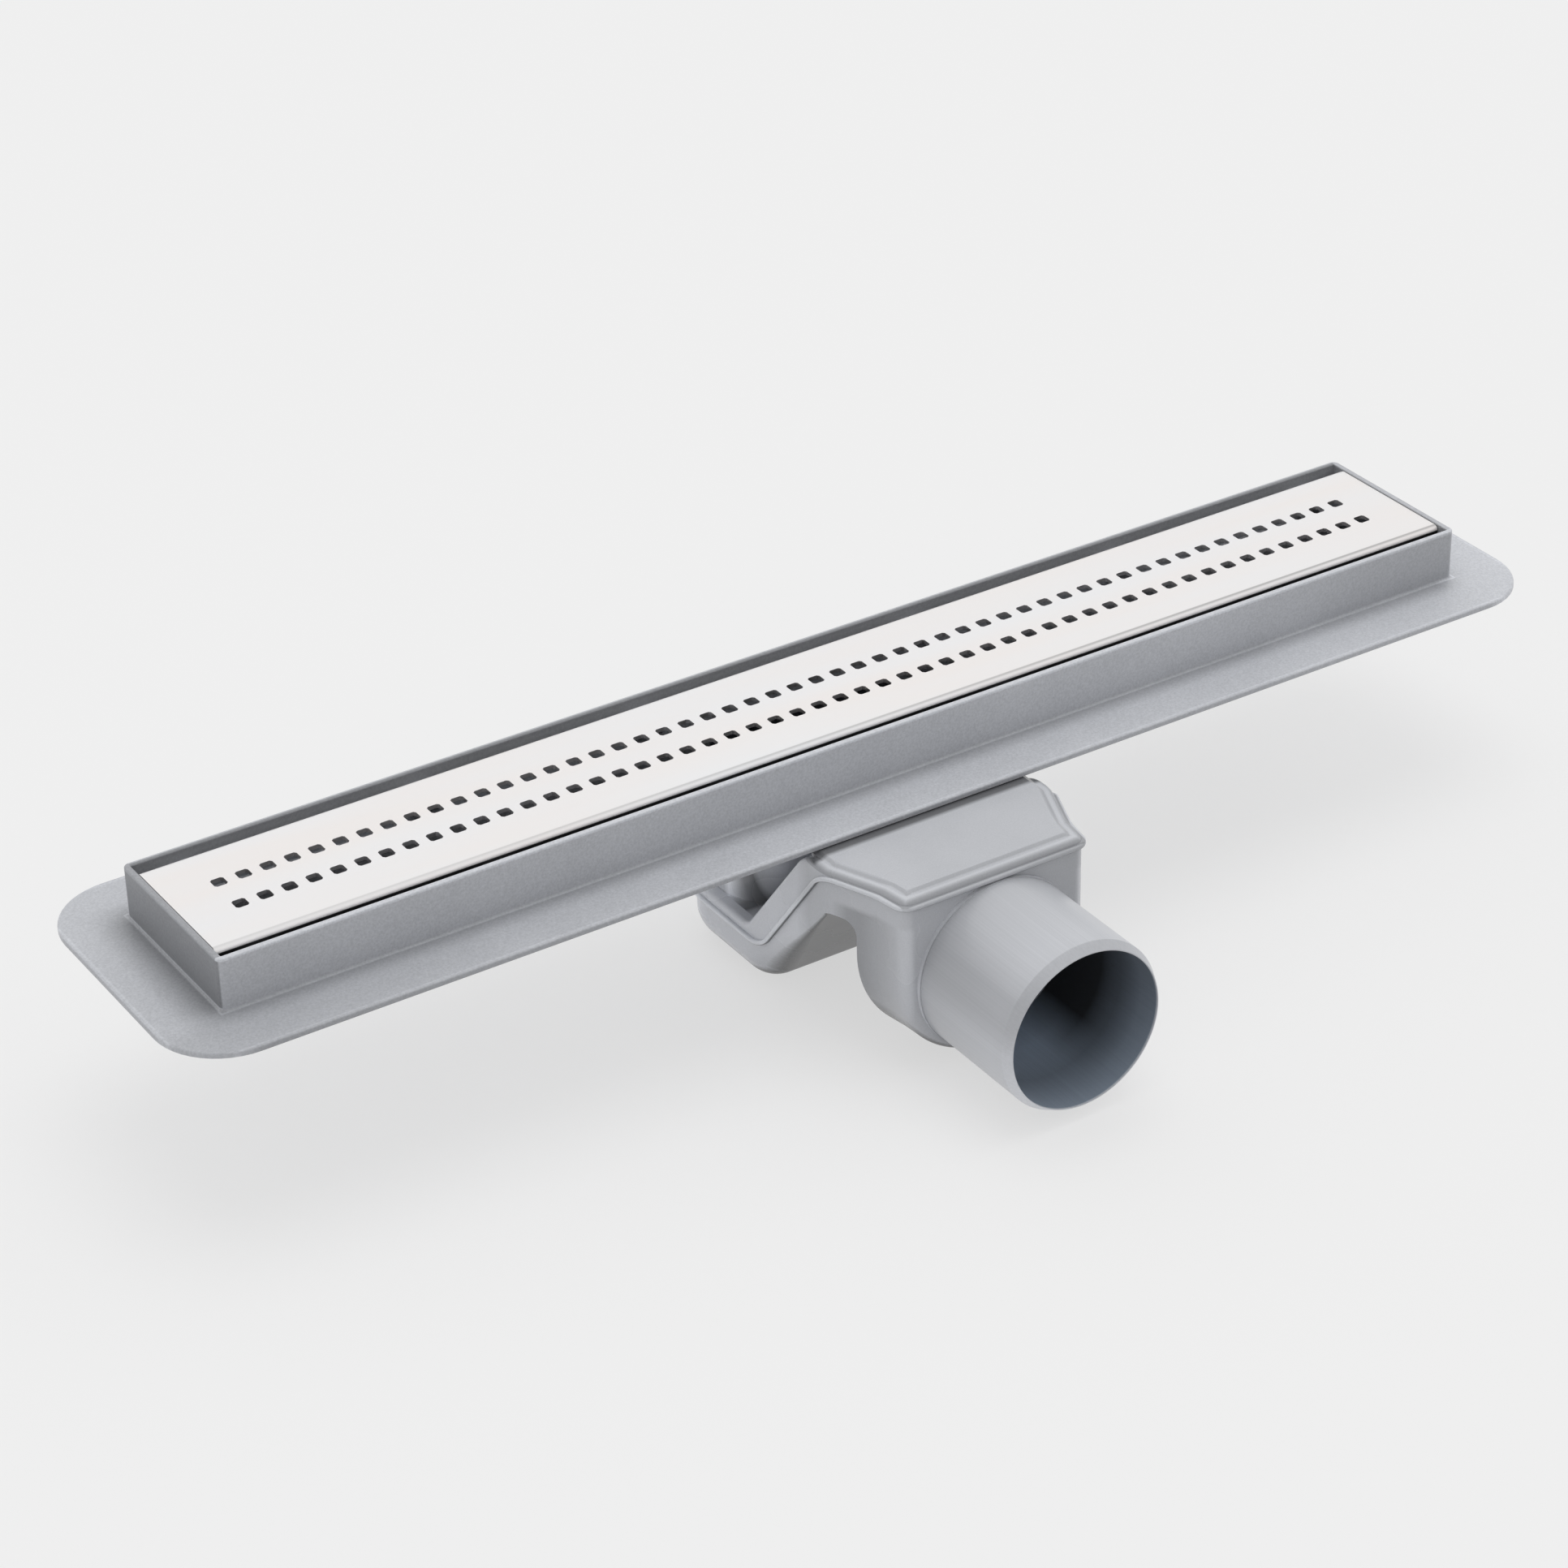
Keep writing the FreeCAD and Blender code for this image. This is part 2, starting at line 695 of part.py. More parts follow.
def outlet_pipe():
    """A short pipe welded into the chamber's front, chamfered outside to enter a socket."""
    bore = pipe_radius - pipe_wall
    start = trap_front + pipe_seat
    flash_end = trap_front - pipe_flash_length
    flash_radius = pipe_radius + pipe_flash
    profile = [
        (bore, start, 0.0),
        (pipe_radius, start, 0.0),
        (pipe_radius, trap_front, 0.0),
        (flash_radius, trap_front, 0.0),
        (flash_radius, flash_end, 0.0),
        (pipe_radius, flash_end, 0.0),
        (pipe_radius, pipe_end + pipe_chamfer, 0.0),
        (bore + pipe_lip, pipe_end, 0.0),
        (bore, pipe_end, 0.0),
    ]
    wire = rounded_wire(profile, lambda r, y: FreeCAD.Vector(r, y, pipe_axis))
    centre = FreeCAD.Vector(0, 0, pipe_axis)
    return Part.Face(wire).revolve(centre, FreeCAD.Vector(0, 1, 0), 360.0)


def write(name, shape):
    solids = shape.Solids
    if len(solids) != 1:
        raise RuntimeError("%s has %d solids" % (name, len(solids)))
    if not solids[0].isValid():
        raise RuntimeError("%s is not valid" % name)
    solids[0].exportStep(os.path.join("parts", name + ".step"))


os.makedirs("parts", exist_ok=True)
way = water_way()
bead = weld_bead()
write("channel_body", channel_body())
write("cover_grate", cover_grate())
write("hair_strainer", hair_strainer())
write("trap_upper_shell", trap_upper_shell(way, bead))
write("trap_lower_shell", trap_lower_shell(way, bead))
write("inlet_seal", inlet_seal())
write("outlet_pipe", outlet_pipe())
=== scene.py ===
import bpy
import math
from mathutils import Matrix, Vector


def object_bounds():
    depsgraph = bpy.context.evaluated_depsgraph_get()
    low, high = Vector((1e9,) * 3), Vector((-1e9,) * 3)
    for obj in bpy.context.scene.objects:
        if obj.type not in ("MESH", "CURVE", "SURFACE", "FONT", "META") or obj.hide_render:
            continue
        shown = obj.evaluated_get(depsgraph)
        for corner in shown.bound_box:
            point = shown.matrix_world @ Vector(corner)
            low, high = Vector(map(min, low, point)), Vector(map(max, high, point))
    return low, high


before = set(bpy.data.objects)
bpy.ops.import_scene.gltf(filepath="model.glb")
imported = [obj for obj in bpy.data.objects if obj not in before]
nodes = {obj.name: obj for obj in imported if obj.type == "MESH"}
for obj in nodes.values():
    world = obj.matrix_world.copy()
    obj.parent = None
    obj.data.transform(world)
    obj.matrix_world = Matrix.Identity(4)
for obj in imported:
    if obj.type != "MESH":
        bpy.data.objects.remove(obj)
cad_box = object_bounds()
floor_level = cad_box[0][2]

# Channel body: the tray with its rim wall, flange, floor and spout, all one moulding
# Grey polypropylene from a spark-eroded mould, then wiped clean, with no paint on it
# Places that the photograph shows darker or lighter have a tone, which multiplies the grey
# The tones are painted light and painted shade, not colours of the plastic itself

# Patterns of the plastic, with their widths and heights in metres
grain_widths = (0.00065, 0.00065, 0.00065)
grain_noise = (3.0, 0.6)
grain_height = 0.00008
cloud_widths = (0.035, 0.035, 0.035)
cloud_noise = (3.0, 0.55)
channel_cloud_share = 0.25
channel_greys = [(0.25, "#A6A8AD"), (0.75, "#C6C8CD")]
channel_roughness = (0.36, 0.48)
channel_relief = 0.30
relief_filter = 0.1
plastic_index = 1.49
plastic_gloss = 0.7

# Places in metres from the drain's middle at the rim's top, and their tones of painted light and
# shade, fading over an edge
edge = 0.0003
rim_half_length = 0.200
rim_half_width = 0.0275
rim_inside = 0.0257
front_rim_tone = 1.27
end_rim_tones = (0.69, 0.98)
tray_half_length = 0.1982
tray_half_width = 0.0265
tray_underside = -0.0163
tray_shade_depth = 0.0045
tray_tones = (1.15, 0.50)
end_wall_tones = (0.45, 0.49)
wall_foot_height = 0.0008
wall_middle_span = (-0.02, 0.09)
wall_middle_tones = (1.02, 1.08)
wall_far_start = 0.12
wall_far_tone = 0.76
flange_top = -0.0150
flange_reach = 0.0185
flange_tones = (1.05, 1.17)
flange_edge_tone = 0.76
flange_line_span = (0.0173, 0.0176)
flange_line_tone = 1.12
foot_line_span = (0.0003, 0.0006)
foot_line_tone = 1.35
beside_rim_reach = 0.006
beside_rim_tone = 0.94
right_end_span = (0.193, 0.201)
right_end_tone = 1.06
front_left_end = -0.05
front_left_tone = 0.86
pocket_reach = 0.0115
pocket_inside = 0.004
pocket_outside = 0.007
pocket_tone = 0.50
facing_down_span = (-0.8, -0.5)


def linear(code):
    """The linear colour of an sRGB hex code."""
    channels = [int(code[i:i + 2], 16) / 255.0 for i in (1, 3, 5)]
    values = [c / 12.92 if c <= 0.04045 else ((c + 0.055) / 1.055) ** 2.4 for c in channels]
    return (*values, 1.0)


def add(tree, kind, *inputs, stops=(), **settings):
    """Adds a node with its settings, links or sets its inputs in order, and gives its output.

    A ramp's stops pair a place on it with a hex code or with a plain brightness.
    """
    node = tree.nodes.new("ShaderNode" + kind)
    for name, value in settings.items():
        setattr(node, name, value)
    for number, (position, shade) in enumerate(stops):
        elements = node.color_ramp.elements
        element = elements[number] if number < len(elements) else elements.new(1.0)
        element.position = position
        element.color = linear(shade) if isinstance(shade, str) else (shade, shade, shade, 1.0)
    sockets = [socket for socket in node.inputs if socket.enabled]
    for socket, value in zip(sockets, inputs):
        if isinstance(value, bpy.types.NodeSocket):
            tree.links.new(value, socket)
        else:
            socket.default_value = value
    return next(socket for socket in node.outputs if socket.enabled)


def product(tree, first, *others):
    """The product of several shares or tones of one place."""
    for other in others:
        first = add(tree, "Math", first, other, operation="MULTIPLY")
    return first


def within(tree, value, start, end, fade):
    """One where a value lies between two others, fading to nothing outside them."""
    into = add(tree, "MapRange", value, start - fade, start)
    out = add(tree, "MapRange", value, end, end + fade, 1.0, 0.0)
    return product(tree, into, out)


def tones(tree, *places):
    """The tones of several places, multiplied: each holds where the place's share is one."""
    return product(tree, *[add(tree, "Mix", share, 1.0, tone) for share, tone in places])


def point_on_drain(tree):
    """The place on the drain, in metres: along the channel, across it, and up."""
    return add(tree, "SeparateXYZ", add(tree, "TexCoord").node.outputs["Object"]).node.outputs


def facing_up(tree):
    """How far a face looks up: one if it does, minus one if it looks down."""
    facing = add(tree, "NewGeometry").node.outputs["Normal"]
    return add(tree, "SeparateXYZ", facing).node.outputs["Z"]


def speckle(tree, widths, detail, roughness):
    """A random pattern whose marks have a real width along each axis, in metres."""
    scale = [1.0 / width for width in widths]
    point = add(tree, "TexCoord").node.outputs["Object"]
    scaled = add(tree, "Mapping", point, (0.0, 0.0, 0.0), (0.0, 0.0, 0.0), scale)
    return add(tree, "TexNoise", scaled, 1.0, detail, roughness)


def material_named(name):
    """A new material, its nodes and its main shader."""
    material = bpy.data.materials.new(name)
    material.use_nodes = True
    return material, material.node_tree, material.node_tree.nodes["Principled BSDF"]


def finish_plastic(tree, shader, colour, sheen, relief, strength):
    """Gives a moulded or drawn plastic its colour, sheen and surface relief."""
    tree.links.new(colour, shader.inputs["Base Color"])
    tree.links.new(sheen, shader.inputs["Roughness"])
    bump = add(tree, "Bump", strength, grain_height, relief_filter, relief)
    tree.links.new(bump, shader.inputs["Normal"])
    shader.inputs["IOR"].default_value = plastic_index
    shader.inputs["Specular IOR Level"].default_value = plastic_gloss


def give(node_name, material):
    """Puts a material on one piece of the drain."""
    slots = nodes[node_name].data.materials
    slots.clear()
    slots.append(material)


# Spark-eroded polypropylene looks satin, with an even grain and faint lighter clouds
# The real grain is about 0.1 mm, too fine to show, so it is drawn at 0.65 mm
channel_plastic, tree, shader = material_named("grained_polypropylene")
grain = speckle(tree, grain_widths, *grain_noise)
clouds = speckle(tree, cloud_widths, *cloud_noise)
mottle = add(tree, "Mix", channel_cloud_share, grain, clouds)
colour = add(tree, "ValToRGB", mottle, stops=channel_greys)
x, y, z = point_on_drain(tree)
from_end = add(tree, "Math", x, operation="ABSOLUTE")
from_middle = add(tree, "Math", y, operation="ABSOLUTE")
past_end = add(tree, "Math", from_end, rim_half_length, operation="SUBTRACT")
past_side = add(tree, "Math", from_middle, rim_half_width, operation="SUBTRACT")
past_rim = add(tree, "Math", past_end, past_side, operation="MAXIMUM")

# The rim: painted shade on its end walls and end tops, painted light and shade along its front
# wall, painted light on its front top
on_end_wall = product(
    tree,
    within(tree, past_end, -edge, edge, edge),
    within(tree, z, flange_top + wall_foot_height, -2.0 * edge, edge),
)
end_wall_tone = add(tree, "MapRange", z, flange_top, 0.0, *end_wall_tones)
on_front_wall = product(
    tree,
    add(tree, "MapRange", y, -rim_half_width, -rim_half_width + edge, 1.0, 0.0),
    add(tree, "MapRange", z, flange_top + edge, flange_top + wall_foot_height),
)
front_wall_tone = product(
    tree,
    add(tree, "MapRange", x, *wall_middle_span, *wall_middle_tones),
    add(tree, "MapRange", x, wall_far_start, rim_half_length, 1.0, wall_far_tone),
)
rim_top = add(tree, "MapRange", z, -2.0 * edge, -edge)
on_front_rim = product(
    tree,
    rim_top,
    add(tree, "MapRange", y, -rim_inside - edge, -rim_inside, 1.0, 0.0),
)
on_end_rim = product(
    tree,
    rim_top,
    add(tree, "MapRange", from_end, tray_half_length, tray_half_length + edge),
    add(tree, "MapRange", y, -rim_inside - edge, -rim_inside),
)
end_rim_tone = add(tree, "MapRange", x, -rim_half_length, rim_half_length, *end_rim_tones)

# The tray: its walls darken towards the top, as they do in the photograph
# Painted shade darkens the tray's walls towards the top, and painted light lightens them lower
# down
in_tray = product(
    tree,
    add(tree, "MapRange", from_end, tray_half_length, tray_half_length + edge, 1.0, 0.0),
    within(tree, y, -rim_inside, tray_half_width, edge),
    add(tree, "MapRange", z, tray_underside - edge, tray_underside),
)
tray_tone = add(tree, "MapRange", z, -tray_shade_depth, 0.0, *tray_tones)

# The flange: painted highlight lines at the walls' foot and near the border, and painted shade
# beside the walls
# The painted shade is darkest in the pocket by the left end, and none is on faces that look down
on_flange = product(
    tree,
    add(tree, "MapRange", z, flange_top, flange_top + edge, 1.0, 0.0),
    add(tree, "MapRange", facing_up(tree), *facing_down_span),
)
pocket_start = rim_half_width - pocket_inside
pocket_end = rim_half_width + pocket_outside
in_pocket = product(
    tree,
    add(tree, "MapRange", x, -rim_half_length - pocket_reach, -rim_half_length),
    add(tree, "MapRange", x, *right_end_span, 1.0, 0.0),
    add(tree, "MapRange", from_middle, pocket_start, pocket_end, 1.0, 0.0),
)
front_left = product(
    tree,
    add(tree, "MapRange", x, -rim_half_length, front_left_end, 1.0, 0.0),
    add(tree, "MapRange", y, -pocket_end, -rim_half_width, 1.0, 0.0),
)
# Painted light grows towards the right end, and painted shade darkens the flange's outer edge
flange_tone = product(
    tree,
    add(tree, "MapRange", x, -rim_half_length, rim_half_length, *flange_tones),
    add(tree, "MapRange", x, *right_end_span, 1.0, right_end_tone),
    add(tree, "MapRange", past_rim, 0.0, beside_rim_reach, beside_rim_tone, 1.0),
    add(tree, "MapRange", past_rim, flange_reach - edge, flange_reach, 1.0, flange_edge_tone),
    tones(
        tree,
        (in_pocket, pocket_tone),
        (front_left, front_left_tone),
        (within(tree, past_rim, *foot_line_span, edge), foot_line_tone),
        (within(tree, past_rim, *flange_line_span, edge), flange_line_tone),
    ),
)
tone = tones(
    tree,
    (on_end_wall, end_wall_tone),
    (in_tray, tray_tone),
    (on_front_rim, front_rim_tone),
    (on_end_rim, end_rim_tone),
    (on_front_wall, front_wall_tone),
    (on_flange, flange_tone),
)
colour = add(tree, "VectorMath", colour, tone, operation="SCALE")
sheen = add(tree, "MapRange", clouds, 0.0, 1.0, *channel_roughness)
finish_plastic(tree, shader, colour, sheen, grain, channel_relief)
give("channel_body", channel_plastic)

# Hair strainer: a small basket moulded in one piece, which lifts out of the drain slot
# Darker polypropylene with the same satin grain as the channel, and duller
strainer_greys = [(0.3, "#3E4044"), (0.7, "#4A4C50")]
strainer_roughness = (0.44, 0.56)
strainer_relief = 0.25
strainer_plastic, tree, shader = material_named("dark_grained_polypropylene")
grain = speckle(tree, grain_widths, *grain_noise)
colour = add(tree, "ValToRGB", grain, stops=strainer_greys)
sheen = add(tree, "MapRange", grain, 0.0, 1.0, *strainer_roughness)
finish_plastic(tree, shader, colour, sheen, grain, strainer_relief)
give("hair_strainer", strainer_plastic)

# Trap: two shells of grey polypropylene, moulded apart and welded along the bead between them
# Their mould is smoother than the channel's, so they look a shade lighter and glossier
# The real grain is finer still, and is drawn at 0.40 mm so that it shows
trap_grain_widths = (0.00040, 0.00040, 0.00040)
trap_cloud_share = 0.5
trap_greys = [(0.3, "#B5B7BC"), (0.7, "#C5C7CC")]
trap_roughness = (0.21, 0.33)
trap_relief = 0.18
# The tones below are painted light and shade: a painted shadow under the flange, painted shade in
# hollows and on faces that look down, painted highlights on the bead and the lid's border
lid_edge = -0.0190
under_flange_span = (-0.0497, -0.0481)
under_flange_tone = 0.25
inlet_side_span = (-0.0460, -0.0400)
inlet_side_tone = 1.30
underside_span = (-0.62, -0.42)
underside_tone = 0.12
chamber_front = -0.0795
chamber_front_half_width = 0.0291
chamber_root = -0.0705
chamber_root_half_width = 0.0304
hump_front = -0.0533
hump_half_width = 0.0373
bead_tone = 1.16
bead_front_tone = 0.94
lid_border_span = (-0.0050, 0.0010)
lid_border_shades = [
    (0.10, 1.00),
    (0.16, 0.84),
    (0.27, 0.82),
    (0.33, 1.04),
    (0.40, 1.12),
    (0.50, 1.10),
    (0.62, 0.86),
    (0.72, 0.68),
    (0.88, 0.64),
]
chamber_inside_half_width = 0.0271
chamber_inside_depth = (-0.0775, -0.0640)
chamber_inside_height = (-0.0530, -0.0198)
chamber_inside_tone = 0.04
chamber_side_top = -0.0275
chamber_side_back = -0.0555
chamber_side_fade = 0.0015
chamber_side_shades = [
    (0.00, 1.14),
    (0.06, 1.10),
    (0.14, 0.96),
    (0.32, 0.83),
    (0.48, 0.76),
    (0.64, 0.64),
    (0.80, 0.66),
    (1.00, 1.00),
]
chamber_front_right_tone = 0.80
funnel_half_width = 0.0332
funnel_height = (-0.0555, -0.0420)
funnel_height_fade = 0.0040
funnel_depth = (-0.0110, 0.0100)
funnel_depth_fade = 0.0020
funnel_tone_span = (-0.0110, 0.0040)
funnel_painted_tones = [
    (0.00, 0.80),
    (0.14, 0.62),
    (0.24, 0.20),
    (0.44, 0.34),
    (0.66, 0.85),
    (0.84, 1.25),
    (1.00, 0.80),
]
trap_plastic, tree, shader = material_named("smooth_polypropylene")
grain = speckle(tree, trap_grain_widths, *grain_noise)
clouds = speckle(tree, cloud_widths, *cloud_noise)
mottle = add(tree, "Mix", trap_cloud_share, grain, clouds)
colour = add(tree, "ValToRGB", mottle, stops=trap_greys)
x, y, z = point_on_drain(tree)
from_middle = add(tree, "Math", x, operation="ABSOLUTE")

# The whole trap: painted light towards the inlet, a painted shadow where the lid runs under the
# flange, painted shade on faces that look down
inlet_side = add(tree, "MapRange", y, *inlet_side_span, 1.0, inlet_side_tone)
underside = add(tree, "MapRange", facing_up(tree), *underside_span, underside_tone, 1.0)
under_flange = product(
    tree,
    add(tree, "MapRange", y, *under_flange_span),
    add(tree, "MapRange", z, lid_edge, lid_edge + 2.0 * edge),
)

# The inlet funnel: painted shade and painted light in streaks down its front
funnel_end = funnel_half_width + edge
on_funnel = product(
    tree,
    add(tree, "MapRange", from_middle, funnel_half_width, funnel_end, 1.0, 0.0),
    within(tree, z, *funnel_height, funnel_height_fade),
    within(tree, y, *funnel_depth, funnel_depth_fade),
)
along_funnel = add(tree, "MapRange", y, *funnel_tone_span)
funnel_tone = add(tree, "ValToRGB", along_funnel, stops=funnel_painted_tones)

# The bead and the lid's border: painted highlights on the bead's sides, painted shade on its
# front, and painted highlights and shade across the border; both follow the trap's outline in
# plan, front and sides
hump_outline = (chamber_root, hump_front, chamber_root_half_width, hump_half_width)
hump_wall = add(tree, "MapRange", y, *hump_outline)
chamber_outline = (chamber_front, chamber_root, chamber_front_half_width, chamber_root_half_width)
chamber_wall = add(tree, "MapRange", y, *chamber_outline)
past_root = add(tree, "MapRange", y, chamber_root, chamber_root + edge)
wall = add(tree, "Mix", past_root, chamber_wall, hump_wall)
past_wall = add(tree, "Math", from_middle, wall, operation="SUBTRACT")
past_front = add(tree, "Math", chamber_front, y, operation="SUBTRACT")
past_trap = add(tree, "Math", past_wall, past_front, operation="MAXIMUM")
on_bead = add(tree, "MapRange", past_trap, edge, 2.0 * edge)
on_front_bead = add(tree, "MapRange", past_front, 0.0, edge)
bead_shade = add(tree, "Mix", on_front_bead, bead_tone, bead_front_tone)
on_lid = product(
    tree,
    add(tree, "MapRange", z, lid_edge - 2.0 * edge, lid_edge - edge),
    add(tree, "MapRange", past_trap, edge, 2.0 * edge, 1.0, 0.0),
)
across_border = add(tree, "MapRange", past_trap, *lid_border_span)
border_tone = add(tree, "ValToRGB", across_border, stops=lid_border_shades)

# The outlet chamber: painted shade inside, painted light and shade round its side, and painted
# shade over its front's right
inside_end = chamber_inside_half_width + edge
in_chamber = product(
    tree,
    add(tree, "MapRange", from_middle, chamber_inside_half_width, inside_end, 1.0, 0.0),
    within(tree, y, *chamber_inside_depth, edge),
    within(tree, z, *chamber_inside_height, edge),
)
side_start = chamber_inside_half_width - chamber_side_fade
side_end = chamber_side_top + chamber_side_fade
on_chamber_side = product(
    tree,
    add(tree, "MapRange", from_middle, side_start, chamber_inside_half_width),
    add(tree, "MapRange", z, chamber_side_top, side_end, 1.0, 0.0),
)
along_side = add(tree, "MapRange", y, chamber_front, chamber_side_back)
side_tone = add(tree, "ValToRGB", along_side, stops=chamber_side_shades)
front_right = product(
    tree,
    add(tree, "MapRange", past_front, -edge, 0.0),
    add(tree, "MapRange", x, 0.0, chamber_front_half_width),
)
tone = product(
    tree,
    inlet_side,
    underside,
    tones(
        tree,
        (on_chamber_side, side_tone),
        (front_right, chamber_front_right_tone),
        (under_flange, under_flange_tone),
        (in_chamber, chamber_inside_tone),
        (on_funnel, funnel_tone),
        (on_bead, bead_shade),
        (on_lid, border_tone),
    ),
)
colour = add(tree, "VectorMath", colour, tone, operation="SCALE")
sheen = add(tree, "MapRange", clouds, 0.0, 1.0, *trap_roughness)
finish_plastic(tree, shader, colour, sheen, grain, trap_relief)
give("trap_upper_shell", trap_plastic)
give("trap_lower_shell", trap_plastic)

# Inlet seal: a ring of round section, pressed between the spout and the trap's collar
# Moulded black EPDM rubber, dull, with a faint grey bloom in spots of about 1 mm
bloom_widths = (0.0011, 0.0011, 0.0011)
bloom_noise = (4.0, 0.6)
seal_blacks = [(0.35, "#141414"), (0.75, "#242425")]
seal_roughness = (0.60, 0.85)
seal_rubber, tree, shader = material_named("black_moulded_rubber")
bloom = speckle(tree, bloom_widths, *bloom_noise)
colour = add(tree, "ValToRGB", bloom, stops=seal_blacks)
sheen = add(tree, "MapRange", bloom, 0.0, 1.0, *seal_roughness)
tree.links.new(colour, shader.inputs["Base Color"])
tree.links.new(sheen, shader.inputs["Roughness"])
give("inlet_seal", seal_rubber)

# Outlet pipe: a length of drawn pipe, turned to a chamfer and welded to the trap's front
# Drawing leaves a smooth gloss with faint lines along the pipe, drawn at 0.45 mm so they show
# The bore is dull, with painted shade that is darkest along its top and deep on its right side, in
# a cool blue tint
draw_line_widths = (0.00045, 0.080, 0.00045)
draw_line_noise = (2.0, 0.5)
pipe_greys = [(0.2, "#BEC0C5"), (0.8, "#C8CACF")]
pipe_roughness = (0.28, 0.38)
pipe_relief = 0.08
pipe_axis = -0.0460
pipe_mouth = -0.1197
mouth_fade = 0.0005
bore_radius = 0.0234
bore_fade = 0.0002
bore_roughness = 0.85
bore_tones = (0.60, 0.26)
bore_tint = (0.86, 1.0, 1.16, 1.0)
no_tint = (1.0, 1.0, 1.0, 1.0)
bore_depth_span = (-0.104, -0.090)
bore_depth_tone = 2.1
deep_side_across = (0.006, 0.017)
deep_side_along = (-0.113, -0.0955)
deep_side_tone = 0.03
# Tones of painted light and shade on the pipe's outside
chamfer_end = -0.1170
chamfer_reach = 0.020
chamfer_tones = (1.30, 0.86)
side_band_height = (0.008, 0.014)
side_band_fade = 0.008
side_band_across = (-0.016, -0.008)
side_band_tone = 0.80
root_shade_span = (-0.112, -0.082)
root_shade_tone = 0.86
root_line_start = -0.0808
root_line_tone = 1.30
pipe_plastic, tree, shader = material_named("drawn_polypropylene")
draw_lines = speckle(tree, draw_line_widths, *draw_line_noise)
colour = add(tree, "ValToRGB", draw_lines, stops=pipe_greys)
x, y, z = point_on_drain(tree)
above_axis = add(tree, "Math", z, pipe_axis, operation="SUBTRACT")
height_squared = add(tree, "Math", above_axis, 2.0, operation="POWER")
reach_squared = add(tree, "Math", x, x, height_squared, operation="MULTIPLY_ADD")
from_axis = add(tree, "Math", reach_squared, operation="SQRT")
in_bore = product(
    tree,
    add(tree, "MapRange", from_axis, bore_radius, bore_radius + bore_fade, 1.0, 0.0),
    add(tree, "MapRange", y, pipe_mouth, pipe_mouth + mouth_fade),
)
bore_tone = product(
    tree,
    add(tree, "MapRange", above_axis, -bore_radius, bore_radius / 2.0, *bore_tones),
    add(tree, "MapRange", y, *bore_depth_span, 1.0, bore_depth_tone),
)
deep_side = product(
    tree,
    add(tree, "MapRange", x, *deep_side_across),
    add(tree, "MapRange", y, *deep_side_along),
)
bore_tone = add(tree, "Mix", deep_side, bore_tone, deep_side_tone)
# Painted shade: a darker band along the outside's upper left
side_band = product(
    tree,
    within(tree, above_axis, *side_band_height, side_band_fade),
    add(tree, "MapRange", x, *side_band_across, 1.0, 0.0),
)
# Painted light and shade on the mouth's chamfer: lighter below, darker on top
on_chamfer = add(tree, "MapRange", y, chamfer_end - edge, chamfer_end + edge, 1.0, 0.0)
chamfer_tone = add(tree, "MapRange", above_axis, -chamfer_reach, chamfer_reach, *chamfer_tones)
# Painted shade on the outside towards the trap's front, and a painted highlight at the weld by the
# pipe's root
outside_tone = product(
    tree,
    add(tree, "MapRange", y, *root_shade_span, 1.0, root_shade_tone),
    add(tree, "MapRange", y, root_line_start, root_line_start + edge, 1.0, root_line_tone),
    tones(tree, (on_chamfer, chamfer_tone), (side_band, side_band_tone)),
)
tone = add(tree, "Mix", in_bore, outside_tone, bore_tone)
tint = add(tree, "Mix", in_bore, no_tint, bore_tint, data_type="RGBA")
colour = add(tree, "VectorMath", colour, tint, operation="MULTIPLY")
colour = add(tree, "VectorMath", colour, tone, operation="SCALE")
drawn_sheen = add(tree, "MapRange", draw_lines, 0.0, 1.0, *pipe_roughness)
sheen = add(tree, "Mix", in_bore, drawn_sheen, bore_roughness)
finish_plastic(tree, shader, colour, sheen, draw_lines, pipe_relief)
give("outlet_pipe", pipe_plastic)

# Cover: a strip of stainless sheet, punched with two rows of square holes and folded down
# Brushing along its length draws its sheen out, in slow warm and cool bands
# Real brush lines are some hundredths of a millimetre wide, and are drawn at 0.22 mm
brush_widths = (0.060, 0.00022, 0.00022)
brush_noise = (4.0, 0.65)
brush_height = 0.00005
brush_relief = 0.10
brush_tones = (0.98, 1.01)
band_widths = (0.170, 0.018, 0.018)
band_noise = (2.0, 0.5)
cover_steels = [(0.35, "#FDFDFE"), (0.65, "#FFFBF9")]
cover_roughness = (0.24, 0.40)
hole_pitch = 0.00703
hole_half = 0.0019
hole_fade = 0.0001
punched_width = 0.00030
punched_tone = 1.01
row_offset = 0.00605
row_half_length = 0.1853
fold_line_span = (-0.0211, -0.0208)
fold_line_fade = 0.0005
fold_tone_span = (-0.150, 0.120)
fold_tones = (0.82, 0.58)
bend_start = 0.0212
bend_tone = 0.97
bend_roughness = 0.60
skirt_top = -0.0012
skirt_fade = 0.0002
skirt_tone = 0.05
cover_steel, tree, shader = material_named("brushed_stainless_steel")
brush = speckle(tree, brush_widths, *brush_noise)
bands = speckle(tree, band_widths, *band_noise)
colour = add(tree, "ValToRGB", bands, stops=cover_steels)
x, y, z = point_on_drain(tree)
from_end = add(tree, "Math", x, operation="ABSOLUTE")
from_middle = add(tree, "Math", y, operation="ABSOLUTE")
along_pitch = add(tree, "Math", x, hole_pitch / 2.0, operation="PINGPONG")
past_row = add(tree, "Math", from_middle, row_offset, operation="SUBTRACT")
across_row = add(tree, "Math", past_row, operation="ABSOLUTE")
from_hole = add(tree, "Math", along_pitch, across_row, operation="MAXIMUM")
